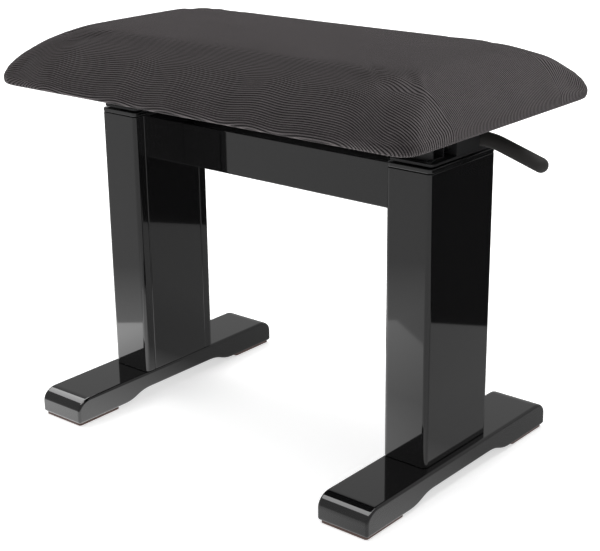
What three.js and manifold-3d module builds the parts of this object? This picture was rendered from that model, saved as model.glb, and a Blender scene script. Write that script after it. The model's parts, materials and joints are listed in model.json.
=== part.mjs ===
// Height-adjustable piano bench: two hollow lacquered columns on long feet, joined by a rail.
// Each column holds a telescoping guide and a lockable gas spring that carry a padded seat.
// Millimetres. +X along the bench, towards the release lever, +Y to the rear, +Z up. The origin
// lies on the floor, under the middle of the overall length and depth. The sub-parts are placed
// from the middle between the columns, and the whole is moved along X at the end.

import * as THREE from 'three';
import { mergeVertices } from 'three/addons/utils/BufferGeometryUtils.js';
import Module from 'manifold-3d';

const wasm = await Module();
wasm.setup();

// ---------------------------------------------------------------- driving dimensions

const gap = 0.3;                 // between two pieces that are fixed together

// Feet and pads
const footLength = 343;
const footOuter = 9.5;           // from the column's outer side to the foot's
const footInner = 0;             // from the column's inner side to the foot's
const footTop = 32.2;            // height of the top face above the floor
const footEndRun = 19;           // length of the rounded top edge at each end
const footEndDrop = 15;          // its height
const footEdge = 2.4;            // rounding of the long edges
const archRise = 8.5;            // how far the underside rises between the pads
const archRun = 45;              // length of the curve at each end of the arch
const archMargin = 7;            // flat left between a pad and the arch
const padLength = 64;
const padThickness = 3;
const padInset = 2.5;            // from the foot's outline to the pad's

// Columns
const columnSpacing = 414;       // from centre to centre
const columnWidth = 55;
const columnDepth = 117;
const columnTop = 357;           // top of the cap above the floor
const columnRadius = 5;          // rounding of the upright corners
const sideWall = 9.5;            // outer wall
const endWall = 14;              // front and rear walls
const panelThickness = 9.5;      // panel that closes the inner side
const capThickness = 5;

// Rail and the steel beam behind it
const railHeight = 52;
const railThickness = 18;
const railDrop = 25.5;           // rail's top below the columns'
const railInset = 38.5;          // rail's front face ahead of the columns' rear
const beamDepth = 18;
const beamHeight = 52;
const beamWall = 2;
const beamAboveRail = 10;        // how far the beam stands above the rail
const beamPlate = 4;

// Telescoping guides
const tubeClearance = 0.5;       // outer tube to the housing's side walls
const tubeMargin = 7;            // outer tube to the housing's front and rear walls
const tubeWall = 1.5;
const glideWall = 2.3;           // thickness of the plastic between the two tubes
const glideGap = 0.2;            // running gap on either side of the plastic
const upperGlideLength = 32;
const glideFlange = 0.8;
const glideLip = 2;
const lowerGlideLength = 25;
const innerTubeReach = 217;      // lower end of the inner tube below the column's top
const basePlate = 6;

// Gas springs
const cylinderClearance = 0.8;   // gas spring to the inner tube
const cylinderWall = 2;
const cylinderRise = 12;         // cylinder's floor above the anchor pin's axis
const cylinderDrop = 57;         // cylinder's top below the column's
const rodRadius = 4;
const rodGap = 0.25;
const pistonLength = 12;
const pistonClearance = 12;      // piston to the cylinder's floor with the seat down
const nutAcross = 13;
const nutHeight = 6;
const anchorPin = 3;             // radius of the pin under the cylinder
const anchorHeight = 15;         // pin's height above the base plate
const earThickness = 3;

// Seat carriers
const carrierGap = 1.5;          // carrier plate above the column cap with the seat down
const carrierThickness = 2.5;
const carrierMarginX = 1;        // carrier plate inside the column's outline
const carrierMarginY = 3;
const sheet = 2.5;               // thickness of the folded release bracket
const riserWall = 2;
const riserDepth = 20;
const riserWidth = 40;
const riserInset = 9.5;          // front riser behind the carrier plate's front edge
const bearerX = 30;
const bearerInset = 45;          // bearer's ends inside the seat's width
const bearerThickness = 5.6;

// Release linkage
const pivotOffset = 13.5;        // from the gas spring's axis to the release shaft's
const pivotRise = 8.6;             // shaft axis above the carrier plate
const shaftRadius = 4;
const shaftGap = 0.3;
const hubRadius = 5;
const fingerWidth = 12;
const fingerThickness = 4;
const pinRadius = 2;
const pinLength = 22;
const pinStroke = 4;
const bracketFront = -13;        // y of the release bracket's front lug
const bracketRear = 28;          // y of its rear lug
const crankRadius = 13;
const crankThickness = 4;
const crankY = 12;
const crankEnd = 4.2;
const linkThickness = 3;
const linkPinRadius = 2.5;
const linkPinGap = 0.4;
const gripClearance = 1.2;       // grip behind the release bracket
const leverRadius = 4.5;
const gripRadius = 7.8;
const gripStart = 6.5;           // from the shaft axis to the inner end of the grip
const leverStraight = 23.5;      // from the shaft axis to the bend
const leverDrop = 17;          // slope of the outer part, degrees
const leverOuter = 57;           // length of the outer part
const bendRun = 8;               // length of the bend on either side of its corner

// Seat
const seatLength = 572;
const seatWidth = 340;
const seatBulge = 0.7;            // how far the flanks swell beyond the length and width
const seatCorner = 24;           // plan radius of the corners
const seatGap = 39;              // cushion's underside above the columns, seat down
const cushionHeight = 61;
const boardThickness = 12;
const coverThickness = 3;
const flankX = 36;               // how far the end flanks lean in
const flankY = 49;               // how far the front and rear flanks lean in
const dustThickness = 0.8;
const dustInset = 14;

// Fasteners
const boltRadius = 4;
const boltHead = 7;
const boltHeadHeight = 5.5;
const boltInset = 7.5;           // bolts' axes inside the ends of the outer guide tube

// ---------------------------------------------------------------- derived sizes and heights

const footWidth = columnWidth + footOuter + footInner;
const footShift = (footOuter - footInner) / 2;
const railTop = columnTop - railDrop;
const railFront = columnDepth / 2 - railInset;
const seatBottom = columnTop + seatGap;
const seatTop = seatBottom + cushionHeight;

const footBottom = padThickness + gap;
const archTop = footBottom + archRise;
const columnBottom = footTop + gap;
const capBottom = columnTop - capThickness;
const shellTop = capBottom - gap;
const panelTop = shellTop;
const cavityInner = columnWidth / 2 - panelThickness;
const cavityOuter = columnWidth / 2 - sideWall;
const cavityHalfY = columnDepth / 2 - endWall;
const outerTubeX = 2 * (Math.min(cavityInner, cavityOuter) - tubeClearance);
const outerTubeY = 2 * (cavityHalfY - tubeMargin);
const boltSpread = outerTubeY - 2 * boltInset;
const baseTop = columnBottom + gap + basePlate;
const tubeBottom = baseTop + gap;
const tubeTop = shellTop - gap;
const boreX = outerTubeX - 2 * tubeWall;
const boreY = outerTubeY - 2 * tubeWall;
const glideX = boreX - 2 * glideGap;
const glideY = boreY - 2 * glideGap;
const glideHoleX = glideX - 2 * glideWall;
const glideHoleY = glideY - 2 * glideWall;
const innerTubeX = glideHoleX - 2 * glideGap;
const innerTubeY = glideHoleY - 2 * glideGap;
const innerTubeBottom = columnTop - innerTubeReach;
const anchorZ = baseTop + anchorHeight;
const cylinderRadius = innerTubeX / 2 - tubeWall - cylinderClearance;
const cylinderBottom = anchorZ + cylinderRise;
const cylinderTop = columnTop - cylinderDrop;
const carrierX = columnWidth - 2 * carrierMarginX;
const carrierY = columnDepth - 2 * carrierMarginY;
const carrierBottom = columnTop + carrierGap;
const carrierTop = carrierBottom + carrierThickness;
const boardBottom = seatBottom + gap;
const dustTop = boardBottom - gap;
const bearerTop = dustTop - dustThickness - gap;
const bearerBottom = bearerTop - bearerThickness;
const bearerY = seatWidth - 2 * bearerInset;
const riserFront = riserInset - carrierY / 2;
const pivotZ = carrierTop + pivotRise;
const fingerBottom = pivotZ + shaftRadius;
const pinTop = fingerBottom - gap;
const leverY = bracketRear + gripClearance + gripRadius;
const rodTop = carrierTop + nutHeight + 1.5;
const archEnd = footLength / 2 - padLength - padInset - archMargin;

// ---------------------------------------------------------------- materials

const finishes = {
  lacquer: { color: 0x0c0c0d, roughness: 0.08, metalness: 0 },
  blackSteel: { color: 0x161617, roughness: 0.45, metalness: 0.3 },
  zinc: { color: 0x9c9fa3, roughness: 0.35, metalness: 0.9 },
  chrome: { color: 0xc4c6c9, roughness: 0.15, metalness: 1 },
  nylon: { color: 0x1d1d1e, roughness: 0.6, metalness: 0 },
  rubber: { color: 0x3a3733, roughness: 0.75, metalness: 0 },
  felt: { color: 0x5a3a30, roughness: 0.95, metalness: 0 },
  fabric: { color: 0x45423f, roughness: 0.95, metalness: 0 },
  foam: { color: 0xd8c98f, roughness: 0.9, metalness: 0 },
  plywood: { color: 0xa98a5c, roughness: 0.7, metalness: 0 },
  dustCloth: { color: 0x111112, roughness: 0.95, metalness: 0 },
};

const bench = new THREE.Group();

function add(name, finish, geometry) {
  const mesh = new THREE.Mesh(geometry, new THREE.MeshStandardMaterial(finishes[finish]));
  mesh.name = name;
  bench.add(mesh);
  return mesh;
}

// ---------------------------------------------------------------- solids: cut and join

function toSolid(geometry) {
  const bare = geometry.clone();
  bare.deleteAttribute('normal');
  bare.deleteAttribute('uv');
  const merged = mergeVertices(bare, 1e-4);
  const vertProperties = new Float32Array(merged.attributes.position.array);
  const triVerts = new Uint32Array(merged.index.array);
  return new wasm.Manifold(new wasm.Mesh({ numProp: 3, vertProperties, triVerts }));
}

function fromSolid(solid) {
  const mesh = solid.getMesh();
  const geometry = new THREE.BufferGeometry();
  geometry.setAttribute('position', new THREE.BufferAttribute(mesh.vertProperties, 3));
  geometry.setIndex(new THREE.BufferAttribute(mesh.triVerts, 1));
  const flat = geometry.toNonIndexed();
  flat.computeVertexNormals();
  return flat;
}

function combine(method, first, others) {
  let solid = toSolid(first);
  for (const other of others) {
    solid = solid[method](toSolid(other));
  }
  return fromSolid(solid);
}

const join = (first, ...others) => combine('add', first, others);
const cut = (first, ...others) => combine('subtract', first, others);

// ---------------------------------------------------------------- solids: basic forms

function block(x0, x1, y0, y1, z0, z1) {
  const box = new THREE.BoxGeometry(x1 - x0, y1 - y0, z1 - z0);
  return box.translate((x0 + x1) / 2, (y0 + y1) / 2, (z0 + z1) / 2);
}

// An upright cylinder between two heights.
function post(x, y, z0, z1, radius, sides = 24) {
  const cylinder = new THREE.CylinderGeometry(radius, radius, z1 - z0, sides);
  return cylinder.rotateX(Math.PI / 2).translate(x, y, (z0 + z1) / 2);
}

// A cylinder lying along Y between two depths.
function axle(x, z, y0, y1, radius, sides = 24) {
  const cylinder = new THREE.CylinderGeometry(radius, radius, y1 - y0, sides);
  return cylinder.translate(x, (y0 + y1) / 2, z);
}

function roundedOutline(path, sizeX, sizeY, radius) {
  const a = sizeX / 2;
  const b = sizeY / 2;
  path.moveTo(-a + radius, -b);
  path.lineTo(a - radius, -b);
  path.absarc(a - radius, -b + radius, radius, -Math.PI / 2, 0);
  path.lineTo(a, b - radius);
  path.absarc(a - radius, b - radius, radius, 0, Math.PI / 2);
  path.lineTo(-a + radius, b);
  path.absarc(-a + radius, b - radius, radius, Math.PI / 2, Math.PI);
  path.lineTo(-a, -b + radius);
  path.absarc(-a + radius, -b + radius, radius, Math.PI, 1.5 * Math.PI);
  return path;
}

function extrudeUp(shape, z0, z1, curveSegments = 4) {
  const options = { depth: z1 - z0, bevelEnabled: false, curveSegments };
  return new THREE.ExtrudeGeometry(shape, options).translate(0, 0, z0);
}

// An upright slab with rounded corners, centred on x.
function roundedSlab(x, sizeX, sizeY, radius, z0, z1) {
  const shape = roundedOutline(new THREE.Shape(), sizeX, sizeY, radius);
  return extrudeUp(shape, z0, z1).translate(x, 0, 0);
}

// An upright rectangular tube, centred on x.
function rectTube(x, sizeX, sizeY, wall, z0, z1, radius = 3) {
  const shape = roundedOutline(new THREE.Shape(), sizeX, sizeY, radius);
  const inner = Math.max(radius - wall, 0.8);
  shape.holes.push(roundedOutline(new THREE.Path(), sizeX - 2 * wall, sizeY - 2 * wall, inner));
  return extrudeUp(shape, z0, z1, 3).translate(x, 0, 0);
}

// Turns an extrusion of a (y, z) outline so that its depth runs along +X from x0.
function alongX(geometry, x0) {
  const y = new THREE.Vector3(0, 1, 0);
  const z = new THREE.Vector3(0, 0, 1);
  const x = new THREE.Vector3(1, 0, 0);
  geometry.applyMatrix4(new THREE.Matrix4().makeBasis(y, z, x));
  return geometry.translate(x0, 0, 0);
}

// ---------------------------------------------------------------- feet and pads

function footGeometry(x) {
  const half = footLength / 2;
  const shape = new THREE.Shape();
  const inset = footEdge;
  const end = half - inset;
  const top = footTop - inset;
  const bottom = footBottom + inset;
  const run = footEndRun - inset;
  const drop = footEndDrop - inset;
  const arch = archTop + inset;
  shape.moveTo(-end, bottom);
  shape.lineTo(-archEnd, bottom);
  shape.bezierCurveTo(-archEnd + archRun / 2, bottom, -archEnd + archRun / 2, arch, -archEnd + archRun, arch);
  shape.lineTo(archEnd - archRun, arch);
  shape.bezierCurveTo(archEnd - archRun / 2, arch, archEnd - archRun / 2, bottom, archEnd, bottom);
  shape.lineTo(end, bottom);
  shape.lineTo(end, top - drop);
  shape.absellipse(end - run, top - drop, run, drop, 0, Math.PI / 2);
  shape.lineTo(-end + run, top);
  shape.absellipse(-end + run, top - drop, run, drop, Math.PI / 2, Math.PI);
  const geometry = new THREE.ExtrudeGeometry(shape, {
    depth: footWidth - 2 * inset,
    bevelThickness: inset,
    bevelSize: inset,
    bevelSegments: 2,
    curveSegments: 6,
  });
  return alongX(geometry, x - footWidth / 2 + inset);
}

function makeFoot(side, sign, x) {
  const middle = x + sign * footShift;
  const bores = [];
  for (const y of [-boltSpread / 2, boltSpread / 2]) {
    bores.push(post(x, y, archTop - 2, footTop + 1, boltRadius + gap, 16));
    bores.push(post(x, y, archTop - 2, archTop + boltHeadHeight + 2, boltHead + 1));
  }
  add(`foot_${side}`, 'lacquer', cut(footGeometry(middle), ...bores));
  const padX = footWidth - 2 * padInset;
  for (const [end, sign] of [['front', -1], ['rear', 1]]) {
    const y = sign * (footLength / 2 - padInset - padLength / 2);
    const pad = roundedSlab(middle, padX, padLength, 3, 0, padThickness).translate(0, y, 0);
    add(`foot_pad_${end}_${side}`, 'felt', pad);
  }
}

// ---------------------------------------------------------------- column housings

// The U of front, outer and rear walls; the open side faces the other column.
function makeColumn(side, sign, x) {
  const a = columnWidth / 2;
  const b = columnDepth / 2;
  const r = columnRadius;
  const shape = new THREE.Shape();
  shape.moveTo(-a, cavityHalfY);
  shape.lineTo(-a, b - r);
  shape.absarc(-a + r, b - r, r, Math.PI, Math.PI / 2, true);
  shape.lineTo(a - r, b);
  shape.absarc(a - r, b - r, r, Math.PI / 2, 0, true);
  shape.lineTo(a, -b + r);
  shape.absarc(a - r, -b + r, r, 0, -Math.PI / 2, true);
  shape.lineTo(-a + r, -b);
  shape.absarc(-a + r, -b + r, r, -Math.PI / 2, -Math.PI, true);
  shape.lineTo(-a, -cavityHalfY);
  shape.lineTo(cavityOuter, -cavityHalfY);
  shape.lineTo(cavityOuter, cavityHalfY);
  const shell = extrudeUp(shape, columnBottom, shellTop);
  if (sign < 0) shell.rotateZ(Math.PI);
  add(`column_shell_${side}`, 'lacquer', shell.translate(x, 0, 0));

  const face = x - sign * a;
  const back = x - sign * cavityInner;
  const panelHalf = cavityHalfY - gap;
  const [x0, x1] = sign > 0 ? [face, back] : [back, face];
  const panel = block(x0, x1, -panelHalf, panelHalf, columnBottom, panelTop);
  add(`column_inner_panel_${side}`, 'lacquer', panel);

  const cap = roundedSlab(x, columnWidth, columnDepth, columnRadius, capBottom, columnTop);
  const hole = block(x - boreX / 2, x + boreX / 2, -boreY / 2, boreY / 2, capBottom - 1, columnTop + 1);
  add(`column_cap_${side}`, 'lacquer', cut(cap, hole));
}

// ---------------------------------------------------------------- telescoping guides

function makeGuide(side, x) {
  const plateX = outerTubeX / 2;
  const plateY = cavityHalfY - 1;
  const plate = block(x - plateX, x + plateX, -plateY, plateY, columnBottom + gap, baseTop);
  const bores = [-1, 1].map((s) => post(x, s * boltSpread / 2, 0, baseTop + 5, boltRadius + gap, 16));
  add(`base_plate_${side}`, 'zinc', cut(plate, ...bores));
  add(`outer_tube_${side}`, 'zinc', rectTube(x, outerTubeX, outerTubeY, tubeWall, tubeBottom, tubeTop));

  const collarBottom = columnTop - upperGlideLength;
  const collar = rectTube(x, glideX, glideY, glideWall, collarBottom, columnTop + 0.2, 1.6);
  const lipX = boreX + 2 * glideLip;
  const lipY = boreY + 2 * glideLip;
  const lipBottom = columnTop + 0.2;
  const lip = rectTube(x, lipX, lipY, (lipX - glideHoleX) / 2, lipBottom - 0.1, lipBottom + glideFlange, 3);
  const bore = block(
    x - glideHoleX / 2, x + glideHoleX / 2,
    -glideHoleY / 2, glideHoleY / 2,
    collarBottom - 1, columnTop + 3,
  );
  add(`upper_glide_${side}`, 'nylon', cut(join(collar, lip), bore));

  const tubeEnd = carrierBottom - gap;
  const inner = rectTube(x, innerTubeX, innerTubeY, tubeWall, innerTubeBottom, tubeEnd, 2);
  add(`inner_tube_${side}`, 'blackSteel', inner);
  const sleeveWall = (glideX - innerTubeX) / 2 - gap;
  const sleeve = rectTube(
    x, glideX, glideY, sleeveWall,
    innerTubeBottom + 2, innerTubeBottom + 2 + lowerGlideLength, 1.6,
  );
  add(`lower_glide_${side}`, 'nylon', sleeve);
}

// ---------------------------------------------------------------- gas springs

function lathe(profile, sides = 28) {
  const points = profile.map(([r, z]) => new THREE.Vector2(r, z));
  return new THREE.LatheGeometry(points, sides).rotateX(Math.PI / 2);
}

function makeGasSpring(side, x) {
  const bore = cylinderRadius - cylinderWall;
  const neck = rodRadius + rodGap;
  const body = lathe([
    [0, cylinderBottom],
    [cylinderRadius, cylinderBottom],
    [cylinderRadius, cylinderTop - 2],
    [cylinderRadius - 2, cylinderTop],
    [neck, cylinderTop],
    [neck, cylinderTop - 8],
    [bore, cylinderTop - 8],
    [bore, cylinderBottom + 4],
    [0, cylinderBottom + 4],
  ]).translate(x, 0, 0);
  const tab = block(x - 5, x + 5, -4, 4, anchorZ - 6, cylinderBottom + 1);
  const eye = axle(x, anchorZ, -10, 10, anchorPin + gap, 20);
  add(`gas_cylinder_${side}`, 'blackSteel', cut(join(body, tab), eye));

  const pistonBottom = cylinderBottom + 4 + pistonClearance;
  const socket = pinRadius + rodGap;
  const socketBottom = pinTop - pinLength - pinStroke;
  const rod = lathe([
    [0, pistonBottom],
    [bore - rodGap, pistonBottom],
    [bore - rodGap, pistonBottom + pistonLength],
    [rodRadius, pistonBottom + pistonLength],
    [rodRadius, rodTop],
    [socket, rodTop],
    [socket, socketBottom],
    [0, socketBottom],
  ]).translate(x, 0, 0);
  add(`gas_rod_${side}`, 'chrome', rod);

  const nut = new THREE.CylinderGeometry(nutAcross / Math.sqrt(3), nutAcross / Math.sqrt(3), nutHeight, 6);
  nut.rotateX(Math.PI / 2).translate(x, 0, carrierTop + gap + nutHeight / 2 - gap / 2);
  const thread = post(x, 0, carrierTop - 5, rodTop + 5, rodRadius + 0.2);
  add(`rod_nut_${side}`, 'zinc', cut(nut, thread));

  const pin = post(x, 0, pinTop - pinLength, pinTop, pinRadius, 20);
  add(`release_pin_${side}`, 'zinc', pin);

  const earOuter = 4 + gap + earThickness;
  const ears = [-1, 1].map((s) => {
    const [y0, y1] = s > 0 ? [4 + gap, earOuter] : [-earOuter, -4 - gap];
    return block(x - 8, x + 8, y0, y1, tubeBottom, anchorZ + 7);
  });
  const floor = block(x - 8, x + 8, -earOuter, earOuter, tubeBottom, tubeBottom + 3);
  const anchorBore = axle(x, anchorZ, -12, 12, anchorPin + gap, 20);
  add(`spring_anchor_${side}`, 'zinc', cut(join(floor, ...ears), anchorBore));
  add(`anchor_pin_${side}`, 'zinc', axle(x, anchorZ, -earOuter - 1, earOuter + 1, anchorPin, 20));
}

// ---------------------------------------------------------------- seat carriers

function makeCarrier(side, sign, x) {
  const a = carrierX / 2;
  const b = carrierY / 2;
  const outline = roundedSlab(x, carrierX, carrierY, 4, carrierBottom, carrierTop);
  const rodHole = post(x, 0, carrierBottom - 5, carrierTop + 5, rodRadius + gap);
  add(`carrier_plate_${side}`, 'blackSteel', cut(outline, rodHole));

  const standBottom = carrierTop + gap;
  const standTop = bearerBottom - gap;
  const channel = new THREE.Shape();
  channel.moveTo(riserFront, standBottom);
  channel.lineTo(riserFront + riserDepth, standBottom);
  channel.lineTo(riserFront + riserDepth, standTop);
  channel.lineTo(riserFront, standTop);
  const bore = new THREE.Path();
  bore.moveTo(riserFront + riserWall, standBottom + riserWall);
  bore.lineTo(riserFront + riserWall, standTop - riserWall);
  bore.lineTo(riserFront + riserDepth - riserWall, standTop - riserWall);
  bore.lineTo(riserFront + riserDepth - riserWall, standBottom + riserWall);
  channel.holes.push(bore);
  const riser = new THREE.ExtrudeGeometry(channel, { depth: riserWidth, bevelEnabled: false });
  add(`front_riser_${side}`, 'blackSteel', alongX(riser, x - riserWidth / 2));

  const outer = x + sign * a;
  const [w0, w1] = sign > 0 ? [outer - sheet, outer] : [outer, outer + sheet];
  const web = block(w0, w1, bracketFront, bracketRear, standBottom, standTop);
  const frontLug = block(x - a, x + a, bracketFront, bracketFront + sheet, standBottom, standTop);
  const rearLug = block(x - a, x + a, bracketRear - sheet, bracketRear, standBottom, standTop);
  const pivotBore = axle(x + pivotOffset, pivotZ, bracketFront - 2, bracketRear + 2, shaftRadius + shaftGap);
  add(`release_bracket_${side}`, 'blackSteel', cut(join(web, frontLug, rearLug), pivotBore));

  const bearer = block(x - bearerX / 2, x + bearerX / 2, -bearerY / 2, bearerY / 2, bearerBottom, bearerTop);
  add(`seat_bearer_${side}`, 'blackSteel', bearer);
}

// ---------------------------------------------------------------- release linkage

// The shaft, with the finger that presses the gas spring's pin and the crank for the link.
function shaftGeometry(x, shaftEnd) {
  const px = x + pivotOffset;
  const half = fingerWidth / 2;
  const pieces = [
    axle(px, pivotZ, -half, half, hubRadius),
    block(x - pinRadius - 1.5, px + 2, -half, half, fingerBottom, fingerBottom + fingerThickness),
    block(px - crankEnd, px + crankEnd, crankY, crankY + crankThickness, pivotZ, pivotZ + crankRadius),
    axle(px, pivotZ + crankRadius, crankY, crankY + crankThickness, crankEnd),
    axle(px, pivotZ + crankRadius, crankY + 1, crankY + crankThickness + linkThickness + 2, linkPinRadius, 20),
  ];
  if (shaftEnd > bracketRear + 5) {
    pieces.push(axle(px, pivotZ, leverY - 6, leverY + 6, gripStart - 0.5));
  }
  return join(axle(px, pivotZ, bracketFront - 3, shaftEnd, shaftRadius), ...pieces);
}

function makeLink(x0, x1) {
  const z = pivotZ + crankRadius;
  const y0 = crankY + crankThickness + gap;
  const y1 = y0 + linkThickness;
  const eyeRadius = linkPinRadius + linkPinGap + 2;
  const bar = block(x0, x1, y0, y1, z - 3.5, z + 3.5);
  const eyes = [x0, x1].map((x) => axle(x, z, y0, y1, eyeRadius));
  const bores = [x0, x1].map((x) => axle(x, z, y0 - 1, y1 + 1, linkPinRadius + linkPinGap, 20));
  add('link_bar', 'zinc', cut(join(bar, ...eyes), ...bores));
}

// The lever's centre line, from a distance beyond the shaft axis to a distance past the bend.
function leverPath(px, start, outerLength) {
  const slope = THREE.MathUtils.degToRad(leverDrop);
  const along = (d) => new THREE.Vector3(
    px + leverStraight + d * Math.cos(slope), leverY, pivotZ - d * Math.sin(slope));
  const path = new THREE.CurvePath();
  const bendStart = new THREE.Vector3(px + leverStraight - bendRun, leverY, pivotZ);
  const corner = new THREE.Vector3(px + leverStraight, leverY, pivotZ);
  path.add(new THREE.LineCurve3(new THREE.Vector3(px + start, leverY, pivotZ), bendStart));
  path.add(new THREE.QuadraticBezierCurve3(bendStart, corner, along(bendRun)));
  path.add(new THREE.LineCurve3(along(bendRun), along(outerLength)));
  return path;
}

function roundAlong(path, radius, sides, steps) {
  const shape = new THREE.Shape();
  shape.absarc(0, 0, radius, 0, 2 * Math.PI);
  return new THREE.ExtrudeGeometry(shape, {
    extrudePath: path, steps, curveSegments: sides, bevelEnabled: false,
  });
}

function makeLever(px) {
  const bar = roundAlong(leverPath(px, gripStart, leverOuter), leverRadius, 12, 9);
  add('lever_bar', 'zinc', bar);
  const skin = roundAlong(leverPath(px, gripStart + 1, leverOuter + 2), gripRadius, 18, 10);
  const slope = THREE.MathUtils.degToRad(leverDrop);
  const reach = leverOuter + 2;
  const tip = new THREE.SphereGeometry(gripRadius, 18, 10).rotateX(Math.PI / 2).translate(
    px + leverStraight + reach * Math.cos(slope), leverY, pivotZ - reach * Math.sin(slope));
  const core = roundAlong(leverPath(px, gripStart - 1, leverOuter + gap), leverRadius + gap, 12, 9);
  add('lever_grip', 'rubber', cut(join(skin, tip), core));
}

// ---------------------------------------------------------------- rail

function makeRail(innerFace) {
  const half = innerFace - gap;
  const railBottom = railTop - railHeight;
  const railBack = railFront + railThickness;
  const shape = new THREE.Shape();
  const e = 1.5;
  shape.moveTo(railFront + e, railBottom);
  shape.lineTo(railBack, railBottom);
  shape.lineTo(railBack, railTop);
  shape.lineTo(railFront + e, railTop);
  shape.absarc(railFront + e, railTop - e, e, Math.PI / 2, Math.PI);
  shape.lineTo(railFront, railBottom + e);
  shape.absarc(railFront + e, railBottom + e, e, Math.PI, 1.5 * Math.PI);
  const board = new THREE.ExtrudeGeometry(shape, { depth: 2 * half, bevelEnabled: false, curveSegments: 3 });
  const beamFront = railBack + gap;
  const beamBack = beamFront + beamDepth;
  const beamTop = railTop + beamAboveRail;
  const beamBottom = beamTop - beamHeight;
  add('rail', 'lacquer', alongX(board, -half));

  const tube = new THREE.Shape();
  tube.moveTo(beamFront, beamBottom);
  tube.lineTo(beamBack, beamBottom);
  tube.lineTo(beamBack, beamTop);
  tube.lineTo(beamFront, beamTop);
  const bore = new THREE.Path();
  bore.moveTo(beamFront + beamWall, beamBottom + beamWall);
  bore.lineTo(beamFront + beamWall, beamTop - beamWall);
  bore.lineTo(beamBack - beamWall, beamTop - beamWall);
  bore.lineTo(beamBack - beamWall, beamBottom + beamWall);
  tube.holes.push(bore);
  const beamHalf = half - beamPlate - gap;
  const beam = new THREE.ExtrudeGeometry(tube, { depth: 2 * beamHalf, bevelEnabled: false });
  add('cross_beam', 'blackSteel', alongX(beam, -beamHalf));

  for (const [side, sign] of [['left', -1], ['right', 1]]) {
    const [x0, x1] = sign > 0 ? [half - beamPlate, half] : [-half, -half + beamPlate];
    const plate = block(x0, x1, beamFront, beamBack, beamBottom - 10, beamTop + 6);
    add(`beam_plate_${side}`, 'blackSteel', plate);
  }
}

// ---------------------------------------------------------------- seat

// A closed loft through rounded rectangles: [z, half length, half width, corner radius].
function loft(rings, topZ) {
  const perCorner = 6;
  const positions = [];
  for (const [z, a, b, r] of rings) {
    for (let corner = 0; corner < 4; corner += 1) {
      const sx = corner === 0 || corner === 3 ? 1 : -1;
      const sy = corner < 2 ? 1 : -1;
      for (let i = 0; i <= perCorner; i += 1) {
        const angle = (corner + i / perCorner) * Math.PI / 2;
        positions.push(sx * (a - r) + r * Math.cos(angle), sy * (b - r) + r * Math.sin(angle), z);
      }
    }
  }
  const count = 4 * (perCorner + 1);
  const index = [];
  for (let k = 0; k + 1 < rings.length; k += 1) {
    for (let i = 0; i < count; i += 1) {
      const p = k * count + i;
      const q = k * count + (i + 1) % count;
      index.push(p, q, q + count, p, q + count, p + count);
    }
  }
  const bottom = positions.length / 3;
  positions.push(0, 0, rings[0][0]);
  positions.push(0, 0, topZ);
  const last = (rings.length - 1) * count;
  for (let i = 0; i < count; i += 1) {
    const j = (i + 1) % count;
    index.push(bottom, j, i);
    index.push(bottom + 1, last + i, last + j);
  }
  const geometry = new THREE.BufferGeometry();
  geometry.setAttribute('position', new THREE.Float32BufferAttribute(positions, 3));
  geometry.setIndex(index);
  const flat = geometry.toNonIndexed();
  flat.computeVertexNormals();
  return flat;
}

// The cushion's outline, drawn in by a distance on every side and lowered by it at the top.
function cushionRings(inset, bottom) {
  const a = seatLength / 2 - inset;
  const b = seatWidth / 2 - inset;
  const top = seatTop - inset;
  const height = top - seatBottom;
  const ring = (share, lean) => {
    const radius = Math.max(seatCorner - inset, 4) + lean * 6;
    return [seatBottom + share * height, a - lean * flankX, b - lean * flankY, radius];
  };
  const rings = [
    [seatBottom + 0.12 * height, a + seatBulge, b + seatBulge, Math.max(seatCorner - inset, 4)],
    ring(0.24, 0),
    ring(0.47, 0.26),
    ring(0.72, 0.62),
    ring(0.86, 0.88),
    ring(0.93, 1.15),
    ring(0.97, 1.7),
  ];
  return [[bottom, a, b, Math.max(seatCorner - inset, 4)], ...rings.filter(([z]) => z > bottom + 2)];
}

function makeSeat() {
  const boardTop = boardBottom + boardThickness;
  const inset = coverThickness + gap;
  const boardX = seatLength - 2 * inset;
  const boardY = seatWidth - 2 * inset;
  add('seat_board', 'plywood', roundedSlab(0, boardX, boardY, seatCorner - inset, boardBottom, boardTop));

  const outer = loft(cushionRings(0, seatBottom), seatTop);
  const hollow = loft(cushionRings(coverThickness, seatBottom - 2), seatTop - coverThickness);
  add('seat_cover', 'fabric', cut(outer, hollow));
  add('foam_core', 'foam', loft(cushionRings(inset, boardTop + gap), seatTop - inset));

  const dustX = seatLength - 2 * dustInset;
  const dustY = seatWidth - 2 * dustInset;
  const dust = roundedSlab(0, dustX, dustY, seatCorner - dustInset / 2, dustTop - dustThickness, dustTop);
  add('dust_cover', 'dustCloth', dust);
}

// ---------------------------------------------------------------- foot bolts

// A socket-head bolt that comes up through the foot into the column's base plate.
function makeBolt(name, x, y) {
  const headBottom = archTop + 1;
  const head = post(x, y, headBottom, headBottom + boltHeadHeight, boltHead, 24);
  const key = new THREE.CylinderGeometry(3.4, 3.4, 3, 6).rotateX(Math.PI / 2).translate(x, y, headBottom + 1);
  const shank = post(x, y, headBottom + boltHeadHeight - 1, baseTop + 3, boltRadius, 16);
  add(name, 'zinc', cut(join(head, shank), key));
}

// ---------------------------------------------------------------- assembly

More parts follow.
